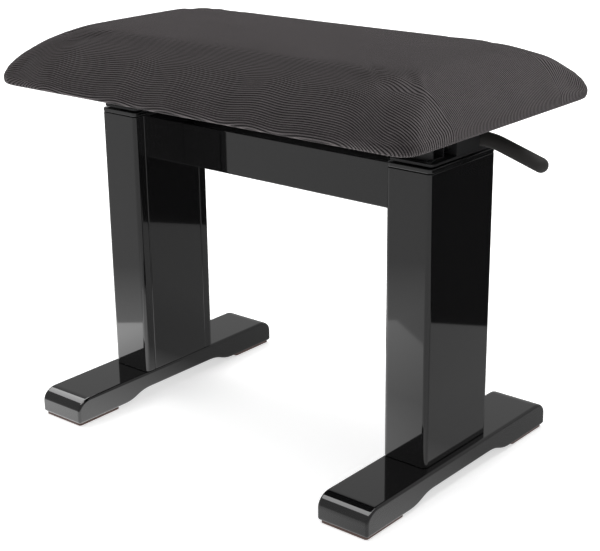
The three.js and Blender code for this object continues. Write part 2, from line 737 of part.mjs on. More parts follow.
const columns = [[-1, -columnSpacing / 2], [1, columnSpacing / 2]];
for (const [sign, x] of columns) {
  const side = sign < 0 ? 'left' : 'right';
  makeFoot(side, sign, x);
  makeColumn(side, sign, x);
  makeGuide(side, x);
  makeGasSpring(side, x);
  makeCarrier(side, sign, x);
  const shaftEnd = sign > 0 ? leverY + 6 : bracketRear + 4;
  add(`release_shaft_${side}`, 'zinc', shaftGeometry(x, shaftEnd));
  makeBolt(`foot_bolt_front_${side}`, x, -boltSpread / 2);
  makeBolt(`foot_bolt_rear_${side}`, x, boltSpread / 2);
}
makeLink(-columnSpacing / 2 + pivotOffset, columnSpacing / 2 + pivotOffset);
makeLever(columnSpacing / 2 + pivotOffset);
makeRail(columnSpacing / 2 - columnWidth / 2);
makeSeat();

// The lever reaches past one end of the seat, so the middle of the length lies off the columns'.
const leverTip = columnSpacing / 2 + pivotOffset + leverStraight
  + (leverOuter + 2) * Math.cos(THREE.MathUtils.degToRad(leverDrop)) + gripRadius;
bench.position.x = -(leverTip - seatLength / 2 - seatBulge) / 2;

export default bench;
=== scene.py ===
# %% [markdown]
# # A height-adjustable piano bench
# A padded seat with a fine-ribbed cover stands on two hollow columns of gloss-black lacquered
# board. Each column has a long foot, one rail joins the columns, and a lever under the
# right-hand end lets the seat rise on two gas springs. The mechanical model gives every part's
# place. This lesson gives the bench its real surfaces: it rebuilds the parts whose rounding and
# softness matter, and keeps the plain steel parts with a better finish.

import json

import bpy
import numpy as np
from mathutils import Matrix, Vector


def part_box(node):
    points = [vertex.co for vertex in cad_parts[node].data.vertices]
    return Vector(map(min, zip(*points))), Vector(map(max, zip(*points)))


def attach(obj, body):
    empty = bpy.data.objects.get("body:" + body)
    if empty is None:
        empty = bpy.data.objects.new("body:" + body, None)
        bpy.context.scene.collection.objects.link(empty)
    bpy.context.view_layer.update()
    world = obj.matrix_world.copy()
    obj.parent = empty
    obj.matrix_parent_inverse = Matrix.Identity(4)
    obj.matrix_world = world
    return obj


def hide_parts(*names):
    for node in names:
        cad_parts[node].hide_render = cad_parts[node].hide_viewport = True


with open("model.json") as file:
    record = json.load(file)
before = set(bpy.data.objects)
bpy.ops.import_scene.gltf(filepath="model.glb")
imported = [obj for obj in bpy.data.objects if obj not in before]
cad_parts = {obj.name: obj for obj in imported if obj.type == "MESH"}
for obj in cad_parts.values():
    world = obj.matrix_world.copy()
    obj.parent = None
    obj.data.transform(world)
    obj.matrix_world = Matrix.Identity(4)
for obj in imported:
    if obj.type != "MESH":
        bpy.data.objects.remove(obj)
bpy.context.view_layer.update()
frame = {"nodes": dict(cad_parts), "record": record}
nodes = frame["nodes"]
MM = 0.001


def node_box(name):
    """Lowest and highest corner of a part of the mechanical model, as two arrays."""
    low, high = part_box(name)
    return np.array(low), np.array(high)


# %% [markdown]
# ## Camera
# The bench is seen from the front, about forty degrees round towards the lever's end and
# nineteen degrees down. A camera's own axes are its right, its up and its back, so three unit
# vectors written as the columns of a matrix turn it without any guesswork. The long lens keeps
# the two columns nearly parallel, as they look in a catalogue view.

# %% Camera
YAW, PITCH, ROLL = np.radians([39.92, 19.37, -0.66])
FOCAL_TO_WIDTH, SENSOR = 2.323, 36.0  # focal length / image width; sensor width in mm
CAMERA_PLACE = (0.96679, -1.14743, 0.71119)

back = np.array([np.sin(YAW) * np.cos(PITCH), -np.cos(YAW) * np.cos(PITCH), np.sin(PITCH)])
right = np.cross([0, 0, 1], back)
right = right / np.linalg.norm(right)
up = np.cross(back, right)
turned_right = np.cos(ROLL) * right + np.sin(ROLL) * up
turned_up = np.cos(ROLL) * up - np.sin(ROLL) * right

lens = bpy.data.cameras.new("catalogue_camera")
lens.sensor_width = SENSOR
lens.lens = SENSOR * FOCAL_TO_WIDTH
camera = bpy.data.objects.new("catalogue_camera", lens)
bpy.context.scene.collection.objects.link(camera)
pose = Matrix.Identity(4)
for column, axis in enumerate((turned_right, turned_up, back, CAMERA_PLACE)):
    for row in range(3):
        pose[row][column] = axis[row]
camera.matrix_world = pose
bpy.context.scene.camera = camera
print("camera: lens", round(lens.lens, 1), "mm")

# %% [markdown]
# ## Shader maths written as sums
# A finish is a small network of nodes. Wiring each Math node by hand hides the formula, so a
# wire here is a Python object that knows its tree, and adding, multiplying or comparing two
# wires adds the Math node that does it. Every other kind of node comes from one method, which
# sets the node's own settings first and then its sockets.


# %% Wires and finishes
class Wire:
    """One output socket of a node. Arithmetic on wires adds Math nodes to the same tree."""

    def __init__(self, finish, socket):
        self.finish, self.socket = finish, socket

    def _math(self, operation, *values):
        """One Math node fed with the values, each a wire or a number."""
        inputs = dict(enumerate(values))
        return self.finish.add("ShaderNodeMath", {"operation": operation}, inputs)[0]

    def __add__(self, other):
        return self._math("ADD", self, other)

    def __radd__(self, other):
        return self._math("ADD", other, self)

    def __sub__(self, other):
        return self._math("SUBTRACT", self, other)

    def __rsub__(self, other):
        return self._math("SUBTRACT", other, self)

    def __mul__(self, other):
        return self._math("MULTIPLY", self, other)

    def __rmul__(self, other):
        return self._math("MULTIPLY", other, self)

    def __pow__(self, other):
        return self._math("POWER", self, other)

    def __gt__(self, other):
        return self._math("GREATER_THAN", self, other)

    def wave(self):
        """The cosine, for a pattern that repeats every two pi."""
        return self._math("COSINE", self)

    def size(self):
        """The value without its sign."""
        return self._math("ABSOLUTE", self)

    def or_more(self, other):
        """The larger of two values."""
        return self._math("MAXIMUM", self, other)

    def span(self, low, high):
        """Where the value lies between low and high, held to 0..1."""
        limits = {"Value": self, "From Min": low, "From Max": high}
        return self.finish.add("ShaderNodeMapRange", {"clamp": True}, limits)["Result"]


class Outputs:
    """A node's outputs, by name or number, each as a Wire."""

    def __init__(self, finish, node):
        self.finish, self.node = finish, node

    def __getitem__(self, key):
        return Wire(self.finish, self.node.outputs[key])


class Finish:
    """A material and its node tree, ending in one Principled shader."""

    def __init__(self, name, **constants):
        self.material = bpy.data.materials.new(name)
        self.material.use_nodes = True
        self.tree = self.material.node_tree
        self.shader = self.tree.nodes["Principled BSDF"]
        self.set(**constants)

    def add(self, kind, settings=(), values=()):
        """A node of one kind: its settings first, then the values or wires of its sockets."""
        node = self.tree.nodes.new(kind)
        for key, value in dict(settings).items():
            setattr(node, key, value)
        for key, value in dict(values).items():
            self._feed(node.inputs[key], value)
        return Outputs(self, node)

    def _feed(self, socket, value):
        """Links a wire to a socket, or sets the socket's own value."""
        if isinstance(value, Wire):
            self.tree.links.new(value.socket, socket)
        else:
            socket.default_value = value

    def set(self, **sockets):
        """Sets the shader's own sockets; base_color=... stands for Base Color."""
        for key, value in sockets.items():
            name = key.replace("_", " ").title().replace("Ior", "IOR")
            if isinstance(value, tuple):
                value = (*value, 1)
            self._feed(self.shader.inputs[name], value)

    def place(self):
        """The piece's own coordinates, in metres."""
        return self.add("ShaderNodeTexCoord")["Object"]

    def noise(self, size, detail=2.0, rough=0.5, stretch=None):
        """Smooth noise whose patches are about size metres across; stretch lengthens it."""
        where = self.place()
        if stretch:
            scaled = {"Vector": where, "Scale": stretch}
            where = self.add("ShaderNodeMapping", {}, scaled)["Vector"]
        values = {"Vector": where, "Scale": 1 / size, "Detail": detail, "Roughness": rough}
        return self.add("ShaderNodeTexNoise", {}, values)["Fac"]

    def crystals(self, per_metre, feature="F1"):
        """Distance to the nearest of scattered points, about so many of them to a metre."""
        values = {"Vector": self.place(), "Scale": per_metre}
        return self.add("ShaderNodeTexVoronoi", {"feature": feature}, values)["Distance"]

    def mix(self, amount, first, second):
        """A colour between two colours."""
        picks = [c if isinstance(c, Wire) else (*c, 1) for c in (first, second)]
        settings = {"data_type": "RGBA"}
        return self.add("ShaderNodeMix", settings, {0: amount, 6: picks[0], 7: picks[1]})[2]

    def bump(self, height, distance, strength=1.0):
        """Turns a height into a tilt of the surface; distance is in metres."""
        values = {"Height": height, "Distance": distance, "Strength": strength}
        self.set(normal=self.add("ShaderNodeBump", {}, values)["Normal"])


print("shader helpers ready")

# %% [markdown]
# ## Lacquer
# The columns, feet and rail are board with a thick black polyester lacquer, sanded and polished
# until it mirrors the studio. Almost all of what one sees is reflection: the colour underneath
# is nearly black, a clear coat lies on top, and only a faint waviness and a few hazy rubbed
# patches tell it from glass.

# %% Lacquer
lacquer = Finish(
    "gloss_black_lacquer",
    base_color=(0.0032, 0.0031, 0.0034),
    coat_weight=1.0,
    coat_roughness=0.012,
    coat_ior=1.52,
    ior=1.5,
)
haze = lacquer.noise(0.09, detail=4, rough=0.6)
lacquer.set(roughness=0.035 + haze * 0.05)
polish = lacquer.noise(0.16, detail=1) + 0.06 * lacquer.noise(0.006, detail=2)
lacquer.bump(polish, distance=0.0004, strength=0.16)
print("lacquer ready")

# %% [markdown]
# ## Metals, plastics and board
# Powder coat has a fine pebbled skin, zinc plate has pale crystals under a slight haze, and
# chromed rod is smooth. Felted pads, the soft grip and raw plywood each need their own grain.
# One short recipe per finish keeps the colour, the roughness and the bump at the right scale.

# %% Powder coat, zinc, chrome and black screws
powder = Finish("black_powder_coat", ior=1.48, coat_weight=0.15, coat_roughness=0.3)
pebbles = powder.noise(0.0011, detail=3, rough=0.6)
powder.set(
    base_color=powder.mix(pebbles, (0.008, 0.008, 0.009), (0.02, 0.02, 0.021)),
    roughness=0.38 + 0.2 * pebbles,
)
powder.bump(pebbles, distance=0.00025, strength=0.5)

zinc = Finish("zinc_plate", metallic=1.0)
spangle = zinc.crystals(420)
cloud = zinc.noise(0.02, detail=4)
zinc.set(
    base_color=zinc.mix(spangle * 0.6 + cloud * 0.4, (0.36, 0.36, 0.37), (0.6, 0.61, 0.62)),
    roughness=0.26 + 0.22 * cloud,
)
zinc.bump(spangle, distance=0.0001, strength=0.25)

chrome = Finish("hard_chrome", metallic=1.0)
rub = chrome.noise(0.004, detail=2, stretch=(1, 1, 0.08))
chrome.set(
    base_color=chrome.mix(rub, (0.62, 0.63, 0.65), (0.74, 0.75, 0.76)),
    roughness=0.07 + 0.08 * rub,
)

screw_black = Finish("blackened_screw", metallic=0.75, coat_weight=0.3, coat_roughness=0.2)
oxide = screw_black.noise(0.0016, detail=3)
screw_black.set(
    base_color=screw_black.mix(oxide, (0.02, 0.02, 0.022), (0.06, 0.06, 0.062)),
    roughness=0.25 + 0.15 * oxide,
)
print("metals ready")

# %% Nylon, grip, pads, plywood, foam and lining
nylon = Finish("black_nylon", ior=1.53)
mould = nylon.noise(0.003, detail=4)
nylon.set(
    base_color=nylon.mix(mould, (0.011, 0.011, 0.012), (0.022, 0.022, 0.023)),
    roughness=0.42 + 0.2 * mould,
)
nylon.bump(mould, distance=0.0001, strength=0.4)

grip_skin = Finish("soft_grip", ior=1.46, sheen_weight=0.12, sheen_roughness=0.5)
grain = grip_skin.noise(0.0014, detail=4, rough=0.65)
worn = grip_skin.noise(0.03, detail=3)
grip_skin.set(
    base_color=grip_skin.mix(
        worn * 0.7 + grain * 0.3, (0.017, 0.0155, 0.0145), (0.028, 0.026, 0.0245)
    ),
    roughness=0.62 + 0.16 * grain,
)
grip_skin.bump(grain, distance=0.0003, strength=0.45)

felt = Finish("felted_pad", sheen_weight=0.25, sheen_roughness=0.6)
fibre = felt.noise(0.0018, detail=6, rough=0.75)
felt.set(
    base_color=felt.mix(fibre, (0.06, 0.03, 0.024), (0.15, 0.08, 0.06)),
    roughness=0.9 + 0.08 * fibre,
)
felt.bump(fibre, distance=0.0008, strength=0.7)

plywood = Finish("birch_plywood", ior=1.45)
VENEER_TURNS = 3140  # radians to a metre: a light and a dark layer in about 2 mm
height = plywood.add("ShaderNodeSeparateXYZ", {}, {"Vector": plywood.place()})["Z"]
veneers = (height * VENEER_TURNS).wave()
grain = plywood.noise(0.004, detail=5, rough=0.6, stretch=(0.06, 1, 1))
plywood.set(
    base_color=plywood.mix(
        grain * 0.7 + (veneers > 0) * 0.3, (0.5, 0.34, 0.19), (0.68, 0.52, 0.33)
    ),
    roughness=0.62 + 0.2 * grain,
)
plywood.bump(grain, distance=0.0003, strength=0.4)

foam = Finish("upholstery_foam")
cells = foam.crystals(700)
foam.set(
    base_color=foam.mix(cells, (0.5, 0.42, 0.22), (0.8, 0.72, 0.48)),
    roughness=0.9 + 0.08 * cells,
)
foam.bump(cells, distance=0.0006, strength=0.8)

lining_cloth = Finish("black_lining")
web = lining_cloth.crystals(520, "SMOOTH_F1")
patch = lining_cloth.noise(0.02, detail=5)
lining_cloth.set(
    base_color=lining_cloth.mix(
        web * 0.6 + patch * 0.4, (0.008, 0.008, 0.0085), (0.03, 0.03, 0.031)
    ),
    roughness=0.82 + 0.14 * patch,
)
lining_cloth.bump(web, distance=0.0004, strength=0.6)
print("other finishes ready")

# %% [markdown]
# ## Finishes on the parts that keep their shape
# The mechanical model's steel, nylon and board parts are already right, so each only takes the
# finish of its slot in the record.

# %% Assign finishes by slot
by_slot = {
    "lacquer": lacquer,
    "felt": felt,
    "zinc": zinc,
    "chrome": chrome,
    "black_steel": powder,
    "nylon": nylon,
    "grip_rubber": grip_skin,
    "plywood": plywood,
    "foam": foam,
    "dust_cloth": lining_cloth,
}
finished = 0
for row in frame["record"]["subparts"]:
    finish = by_slot.get(row["material_slot"])
    if finish:
        mesh = nodes[row["node"]].data
        mesh.materials.clear()
        mesh.materials.append(finish.material)
        finished += 1
print("parts finished by slot:", finished)

# %% [markdown]
# ## Surfaces from arrays
# Every new piece is a grid of points worked out with numpy: rows along one parameter, columns
# along the other. A flat face next to a rounding needs one extra row just inside the flat.
# Without it the smooth shading of the rounding would leak across the whole face, and a mirror
# finish shows that at once.

# %% Grids and meshes
HOLD = 0.3 * MM  # strip of flat kept beside every rounding


def grid_quads(rows, columns, wrap_rows=False, wrap_columns=True):
    """Four corners of each cell of a rows x columns grid, wrapped where it closes on itself."""
    r = np.arange(rows if wrap_rows else rows - 1)[:, None]
    c = np.arange(columns if wrap_columns else columns - 1)[None, :]
    r1, c1 = (r + 1) % rows, (c + 1) % columns
    cells = (r * columns + c, r * columns + c1, r1 * columns + c1, r1 * columns + c)
    return np.stack(cells, -1).reshape(-1, 4).tolist()


def make_piece(name, points, faces, finish, body, replaces=()):
    """A mesh object at the origin that rides on a body and stands for the named parts."""
    mesh = bpy.data.meshes.new(name)
    mesh.from_pydata(np.asarray(points).reshape(-1, 3).tolist(), [], faces)
    mesh.polygons.foreach_set("use_smooth", np.ones(len(mesh.polygons), bool))
    mesh.materials.append(finish.material)
    mesh.validate()
    piece = bpy.data.objects.new(name, mesh)
    bpy.context.scene.collection.objects.link(piece)
    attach(piece, body)
    if replaces:
        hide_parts(*replaces)
    return piece


print("a 3 x 4 tube has", len(grid_quads(3, 4)), "cells")


# %% Rounded outlines and prisms
def rounded_outline(corners, radii, steps=7):
    """Closed outline, anticlockwise, and its outward normals.

    At each corner the straight edges stop one tangent length short, radius x tan(turn / 2), and
    an arc joins them. A point is kept just before and just after every arc.
    """
    corners = np.asarray(corners, float)
    before = corners - np.roll(corners, 1, 0)
    before /= np.linalg.norm(before, axis=1)[:, None]
    after = np.roll(before, -1, 0)
    points, normals = [], []
    radii = np.broadcast_to(radii, len(corners))
    for corner, d0, d1, radius in zip(corners, before, after, radii):
        turn = np.arctan2(d0[0] * d1[1] - d0[1] * d1[0], d0 @ d1)
        side = np.sign(turn)
        angle = np.linspace(0, turn, steps + 1)
        n0 = np.array([d0[1], -d0[0]])
        turned_x = n0[0] * np.cos(angle) - n0[1] * np.sin(angle)
        turned_y = n0[0] * np.sin(angle) + n0[1] * np.cos(angle)
        arc = np.stack([turned_x, turned_y], -1)
        start = corner - d0 * radius * np.tan(abs(turn) / 2)
        centre = start - side * radius * n0
        ring = centre + side * radius * arc
        points += [ring[:1] - HOLD * d0, ring, ring[-1:] + HOLD * d1]
        normals += [arc[:1], arc, arc[-1:]]
    return np.concatenate(points), np.concatenate(normals)


def edge_rows(low, high, edge, steps=4):
    """(height, inset) of the rings of a prism whose two ends have a quarter-round edge."""
    a = np.linspace(0, np.pi / 2, steps + 1)
    rise, inset = edge * (1 - np.cos(a)), edge * (1 - np.sin(a))
    heights = [low, *(low + rise), low + edge + HOLD]
    insets = [edge + HOLD, *inset, 0]
    top = [low + high - h for h in heights[::-1]]
    return np.array(heights + top), np.array(insets + insets[::-1])


AXIS_ORDER = {"z": (0, 1, 2), "x": (2, 0, 1)}  # which of (across, up, along) gives x, y and z


def prism_points(outline, low, high, edge, axis="z", steps=4):
    """Rings of an outline carried along an axis, drawn in at both ends by a quarter round."""
    points, normals = outline
    heights, insets = edge_rows(low, high, edge, steps)
    flat = points[None] - insets[:, None, None] * normals[None]
    along = np.broadcast_to(heights[:, None, None], (*flat.shape[:2], 1))
    return np.concatenate([flat, along], -1)[..., AXIS_ORDER[axis]]


def prism_faces(rings, columns):
    """The side cells and the two end faces of a prism."""
    last = (rings - 1) * columns
    ends = [list(range(columns))[::-1], list(range(last, last + columns))]
    return grid_quads(rings, columns) + ends


def prism(name, outline, low, high, edge, finish, body, replaces=(), axis="z"):
    """A piece made by carrying an outline along an axis."""
    points = prism_points(outline, low, high, edge, axis)
    faces = prism_faces(*points.shape[:2])
    return make_piece(name, points, faces, finish, body, replaces)


print("surface helpers ready")

# %% [markdown]
# ## Columns
# A column is a box of lacquered board: a U of front, outer and rear walls with generously
# rounded upright corners, and a separate panel let into the inner side, so that two fine
# grooves run down beside it. Extruding the rounded plan of the U, with a small round at both
# ends, gives the upright highlights their true width.

# %% Column shells and inner panels
COLUMN_CORNER, GROOVE, END_EDGE = 5 * MM, 1.3 * MM, 0.9 * MM
COLUMN_WALL, PANEL_GAP = 9.5 * MM, 0.3 * MM


def column_outline(side):
    """Plan of the U in metres: the outer corners, then the inner side's mouth and the cavity."""
    low, high = node_box(f"column_shell_{side}")
    panel_high = node_box(f"column_inner_panel_{side}")[1]
    y = panel_high[1] + PANEL_GAP
    if side == "right":
        mouth, deep, outer = low[0], high[0] - COLUMN_WALL, high[0]
    else:
        mouth, deep, outer = high[0], low[0] + COLUMN_WALL, low[0]
    plan = [(mouth, low[1]), (outer, low[1]), (outer, high[1]), (mouth, high[1])]
    plan += [(mouth, y), (deep, y), (deep, -y), (mouth, -y)]
    radii = [COLUMN_CORNER] * 4 + [GROOVE] * 4
    if side == "left":
        plan, radii = plan[::-1], radii[::-1]
    return rounded_outline(plan, radii), low[2], high[2]


def rectangle(low, high, radius, steps=7):
    """Outline of a rounded rectangle between two corners."""
    (x0, y0), (x1, y1) = low[:2], high[:2]
    return rounded_outline([(x0, y0), (x1, y0), (x1, y1), (x0, y1)], radius, steps)


for side in ("left", "right"):
    outline, bottom, top = column_outline(side)
    prism(
        f"lacquered_column_{side}", outline, bottom, top, END_EDGE,
        lacquer, "base", [f"column_shell_{side}"],
    )
    low, high = node_box(f"column_inner_panel_{side}")
    prism(
        f"inlaid_panel_{side}", rectangle(low, high, GROOVE), low[2], high[2], END_EDGE,
        lacquer, "base", [f"column_inner_panel_{side}"],
    )
print("columns: walls and inlaid panels")

# %% [markdown]
# ## Column caps
# Each column is closed by a thin plate with a rectangular opening for the guide tube. A ring
# like this is one closed surface: the outline runs up the outside, over the top, down the
# opening and back underneath, so its rows wrap round as its columns do.

# %% Caps
TUBE_WALL, OPENING_CORNER = 1.5 * MM, 1.2 * MM


def ring_points(outer, inner, low, high, edge, hole_edge, steps=4):
    """Rows run up the outer outline and down the inner one, each with quarter-round edges."""
    heights, insets = edge_rows(low, high, edge, steps)
    hole_heights, hole_insets = edge_rows(low, high, hole_edge, steps)
    rows = []
    for height, inset in zip(heights, insets):
        rows.append((height, outer[0] - inset * outer[1]))
    for height, inset in zip(hole_heights[::-1], hole_insets[::-1]):
        rows.append((height, inner[0] + inset * inner[1]))
    return np.stack([np.column_stack([flat, np.full(len(flat), h)]) for h, flat in rows])


def ring_piece(name, outer, inner, low, high, edge, hole_edge, finish, body, replaces):
    """A plate with an opening, as one closed piece."""
    points = ring_points(outer, inner, low, high, edge, hole_edge)
    faces = grid_quads(*points.shape[:2], wrap_rows=True)
    return make_piece(name, points, faces, finish, body, replaces)


for side in ("left", "right"):
    low, high = node_box(f"column_cap_{side}")
    tube_low, tube_high = node_box(f"outer_tube_{side}")
    ring_piece(
        f"lacquered_cap_{side}",
        rectangle(low, high, COLUMN_CORNER),
        rectangle(tube_low + TUBE_WALL, tube_high - TUBE_WALL, OPENING_CORNER),
        low[2], high[2], 1.1 * MM, 0.5 * MM,
        lacquer, "base", [f"column_cap_{side}"],
    )
print("caps ready")

# %% [markdown]
# ## Feet
# A foot seen from the side is a long bar whose top corners fall away in a quarter ellipse and
# whose sole is hollowed between the pads. Half of that outline is worked out and mirrored, then
# carried across the foot's width with a generous rounding along both long edges.

# %% Foot outline
FOOT_RUN, FOOT_DROP, TOE = 19 * MM, 15 * MM, 3.4 * MM
ARCH_END, ARCH_RUN, ARCH_RISE = 98 * MM, 45 * MM, 8.5 * MM
FOOT_EDGE = 2.9 * MM


def unit(x, y):
    """Two arrays as rows of unit vectors."""
    vectors = np.stack([x, y], -1)
    return vectors / np.linalg.norm(vectors, axis=-1)[..., None]


def foot_outline(low, high):
    """Side view (y, z) of a foot, anticlockwise, and its normals.

    The arch climbs by 3 t^2 - 2 t^3 of its rise over 1.5 t (1 - t) + t^3 of its run. The top
    corner is a quarter ellipse. The half with y > 0 is mirrored for the other one.
    """
    half, bottom, top = high[1], low[2], high[2]
    t = np.linspace(1, 0, 15)
    arch_y = ARCH_END - ARCH_RUN * (1.5 * t * (1 - t) + t**3)
    arch_z = bottom + ARCH_RISE * (3 * t**2 - 2 * t**3)
    arch_n = unit(-6 * ARCH_RISE * t * (1 - t), -ARCH_RUN * (1.5 - 3 * t + 3 * t**2))
    toe = np.linspace(-np.pi / 2, 0, 8)
    end = np.linspace(0, np.pi / 2, 19)
    y = [arch_y[:1] - HOLD, arch_y, arch_y[-1:] + HOLD]
    z = [arch_z[:1], arch_z, arch_z[-1:]]
    n = [arch_n[:1], arch_n, arch_n[-1:]]
    y += [[half - TOE - HOLD], half - TOE + TOE * np.cos(toe), [half]]
    z += [[bottom], bottom + TOE + TOE * np.sin(toe), [bottom + TOE + HOLD]]
    n += [[(0, -1)], unit(np.cos(toe), np.sin(toe)), [(1, 0)]]
    y += [[half], half - FOOT_RUN + FOOT_RUN * np.cos(end), [half - FOOT_RUN - HOLD]]
    z += [[top - FOOT_DROP - HOLD], top - FOOT_DROP + FOOT_DROP * np.sin(end), [top]]
    n += [[(1, 0)], unit(np.cos(end) / FOOT_RUN, np.sin(end) / FOOT_DROP), [(0, 1)]]
    points = np.stack([np.concatenate(y), np.concatenate(z)], -1)
    normals = np.concatenate(n)
    mirror = np.array([-1, 1])
    both = [np.concatenate([half, half[::-1] * mirror]) for half in (points, normals)]
    return both[0], both[1]


print("sole: arch", round(ARCH_RISE * 1000, 1), "mm high")


# %% Feet and pads
BORE_RADIUS, BORE_SIDES = 8 * MM, 32
BORE_BELOW, BORE_ABOVE = 3 * MM, 8.5 * MM  # from the top of the arch
PAD_CORNER, PAD_EDGE, PAD_SUNK = 3.5 * MM, 0.7 * MM, 0.3 * MM


def apply_modifiers(piece):
    """Bakes the live modifiers of a piece into its mesh."""
    view = bpy.context.evaluated_depsgraph_get()
    view.update()
    mesh = bpy.data.meshes.new_from_object(piece.evaluated_get(view))
    piece.modifiers.clear()
    piece.data = mesh


def bore_from_below(piece, centres, radius, low, high):
    """Cuts blind round holes and keeps their rims sharp."""
    a = np.linspace(0, 2 * np.pi, BORE_SIDES + 1)[:-1]
    ring = np.stack([np.cos(a), np.sin(a), 0 * a], -1) * radius
    points, faces = [], []
    for number, (x, y) in enumerate(centres):
        points += [ring + (x, y, low), ring + (x, y, high)]
        first = 2 * BORE_SIDES * number
        faces += [[first + i for i in face] for face in prism_faces(2, BORE_SIDES)]
    mesh = bpy.data.meshes.new("bores")
    mesh.from_pydata(np.concatenate(points).tolist(), [], faces)
    cutter = bpy.data.objects.new("bores", mesh)
    bpy.context.scene.collection.objects.link(cutter)
    cut = piece.modifiers.new("bores", "BOOLEAN")
    cut.object, cut.operation, cut.solver = cutter, "DIFFERENCE", "EXACT"
    apply_modifiers(piece)
    bpy.data.objects.remove(cutter)
    piece.data.set_sharp_from_angle(angle=np.radians(40))


for side in ("left", "right"):
    low, high = node_box(f"foot_{side}")
    foot = prism(
        f"lacquered_foot_{side}", foot_outline(low, high), low[0], high[0], FOOT_EDGE,
        lacquer, "base", [f"foot_{side}"], axis="x",
    )
    heads = []
    for row in ("front", "rear"):
        bolt_low, bolt_high = node_box(f"foot_bolt_{row}_{side}")
        heads.append(((bolt_low + bolt_high) / 2)[:2])
        pad_low, pad_high = node_box(f"foot_pad_{row}_{side}")
        prism(
            f"felt_pad_{row}_{side}", rectangle(pad_low, pad_high, PAD_CORNER), pad_low[2],
            pad_high[2] + PAD_SUNK, PAD_EDGE, felt, "base", [f"foot_pad_{row}_{side}"],
        )
    arch_top = low[2] + ARCH_RISE
    bore_from_below(foot, heads, BORE_RADIUS, arch_top - BORE_BELOW, arch_top + BORE_ABOVE)
print("feet with their pads")

# %% [markdown]
# ## Rail
# The rail between the columns is one straight board. Its outline is the small rectangle seen
# from the end, carried along X.

# %% Rail
RAIL_CORNER, RAIL_END_EDGE, RAIL_SUNK = 1.5 * MM, 0.3 * MM, 0.2 * MM
low, high = node_box("rail")
prism(
    "lacquered_rail", rectangle(low[1:], high[1:], RAIL_CORNER), low[0] - RAIL_SUNK,
    high[0] + RAIL_SUNK, RAIL_END_EDGE, lacquer, "base", ["rail"], axis="x",
)
print("rail:", round((high[0] - low[0]) * 1000), "mm long")

# %% [markdown]
# ## Lever grip
# The lever leaves the column level and then dips, inside a soft sleeve with a round tip. A tube
# is a circle carried along a path. Its radius shrinks at both ends, as a small rounding at the
# sleeve's mouth and as a half ball at the tip.

# %% Grip
def tube(centres, radii, side, columns=32):
    """Rings about a path that lies in a plane; side is the plane's normal."""
    tangent = np.gradient(centres, axis=0)
    tangent /= np.linalg.norm(tangent, axis=1)[:, None]
    up_way = np.cross(tangent, side)
    a = np.linspace(0, 2 * np.pi, columns + 1)[:-1, None]
    circle = np.cos(a) * side + np.sin(a) * up_way[:, None]
    return centres[:, None] + radii[:, None, None] * circle


GRIP_RADIUS, MOUTH, BEND = 7.8 * MM, 2.2 * MM, 12 * MM
LEVER_STRAIGHT, LEVER_OUTER, LEVER_DROP = 23.5 * MM, 59 * MM, np.radians(17)
GRIP_START = 7.5 * MM  # from the pivot to the sleeve's mouth
low, high = node_box("lever_grip")
pivot = np.array([low[0] - GRIP_START, (low[1] + high[1]) / 2, high[2] - GRIP_RADIUS])


def lever_point(s):
    """Centre line at a distance s from the pivot: level, a quadratic bend, then sloping."""
    corner = LEVER_STRAIGHT
    slope = np.array([np.cos(LEVER_DROP), 0, -np.sin(LEVER_DROP)])
    flat = np.array([1.0, 0, 0])
    before = np.minimum(s, corner - BEND)[:, None] * flat
    t = np.clip((s - corner + BEND) / (2 * BEND), 0, 1)[:, None]
    bend = BEND * (2 * t * (1 - t) * flat + t**2 * (flat + slope))
    after = np.maximum(s - corner - BEND, 0)[:, None] * slope
    return pivot + before + bend + after


reach = LEVER_STRAIGHT + LEVER_OUTER
a = np.linspace(0, np.pi / 2, 9)
even = np.linspace(GRIP_START + 4 * MM, reach - MM, 34)
ball = GRIP_RADIUS * np.stack([np.sin(a[:-1]), np.cos(a[:-1])])
stations = np.concatenate([GRIP_START + MOUTH * (1 - np.cos(a)), even, reach + ball[0]])
full = np.full(len(even), GRIP_RADIUS)
radii = np.concatenate([GRIP_RADIUS - MOUTH * (1 - np.sin(a)), full, ball[1]])
points = tube(lever_point(stations), radii, np.array([0.0, 1, 0]))
make_piece(
    "soft_lever_grip", points, prism_faces(*points.shape[:2]), grip_skin,
    "release_lever", ["lever_grip"],
)
print("grip:", round((reach + GRIP_RADIUS - GRIP_START) * 1000), "mm along")

# %% [markdown]
# ## Ribbed velvet
# The cover is a dark velvet woven in fine cords. On top the cords run along the bench. Over the
# front they stay level, and towards a corner they fan out until they run down the ends. A UV map
# called weave carries the place across the cords, so the pattern follows the cloth however it
# bends. Pile catches light at a grazing angle, which is what sheen is for, and the cords
# themselves are a bump whose valleys are painted darker as shade between the cords.

# %% Fabric
CORD_PITCH = 2.6 * MM
velvet = Finish(
    "ribbed_velvet",
    ior=1.35,
    sheen_weight=0.25,
    sheen_roughness=0.4,
    sheen_tint=(0.95, 0.88, 0.9),
    specular_ior_level=0.2,
)
weave = velvet.add("ShaderNodeUVMap", {"uv_map": "weave"})["UV"]
across = velvet.add("ShaderNodeSeparateXYZ", {}, {"Vector": weave})["Y"]
cord = 0.5 + 0.5 * (across * (2 * np.pi / CORD_PITCH)).wave()
pile = velvet.noise(0.0009, detail=4, rough=0.7)
crush = velvet.noise(0.028, detail=4, rough=0.6)
# The first colour is painted shade: the valleys between the cords are painted nearly black.
SHADED_VALLEY, RIDGE = (0.001, 0.0009, 0.001), (0.096, 0.085, 0.087)
shade = (cord**2.4) * 1.05 + 0.12 * pile + 0.24 * (crush - 0.4)
velvet.set(
    base_color=velvet.mix(shade.span(0.0, 1.0), SHADED_VALLEY, RIDGE),
    roughness=0.82 + 0.15 * pile,
)
velvet.bump(cord + 0.12 * pile, distance=0.0014, strength=1.0)
print("velvet: cords", round(CORD_PITCH * 1000, 1), "mm apart")

